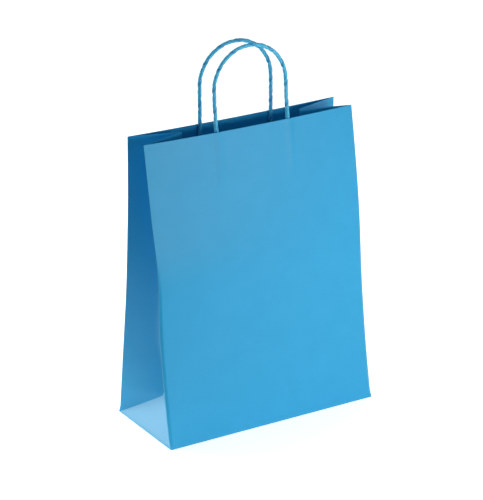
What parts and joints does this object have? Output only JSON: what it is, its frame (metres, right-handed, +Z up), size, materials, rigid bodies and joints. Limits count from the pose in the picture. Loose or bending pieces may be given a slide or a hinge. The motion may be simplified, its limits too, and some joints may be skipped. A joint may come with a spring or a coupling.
{
  "type": "paper carrier bag",
  "caption": "Blue paper carrier bag, standing open, with side gussets, a folded block bottom and two twisted paper handles.",
  "frame": {"origin": "middle of the base, on the surface that the bag stands on", "axes": "+X along the width, to the right seen from the front; +Y to the back; +Z up to the mouth"},
  "size_m": [0.24, 0.11, 0.3906],
  "materials": {
    "bag_paper": "smooth dyed kraft, slight sheen",
    "cord_paper": "matt twisted paper",
    "patch_paper": "smooth dyed kraft"
  },
  "bodies": {
    "root": {"bag_body": "bag_paper", "front_handle": "cord_paper", "rear_handle": "cord_paper", "front_handle_patch": "patch_paper", "rear_handle_patch": "patch_paper"}
  },
  "joints": []
}
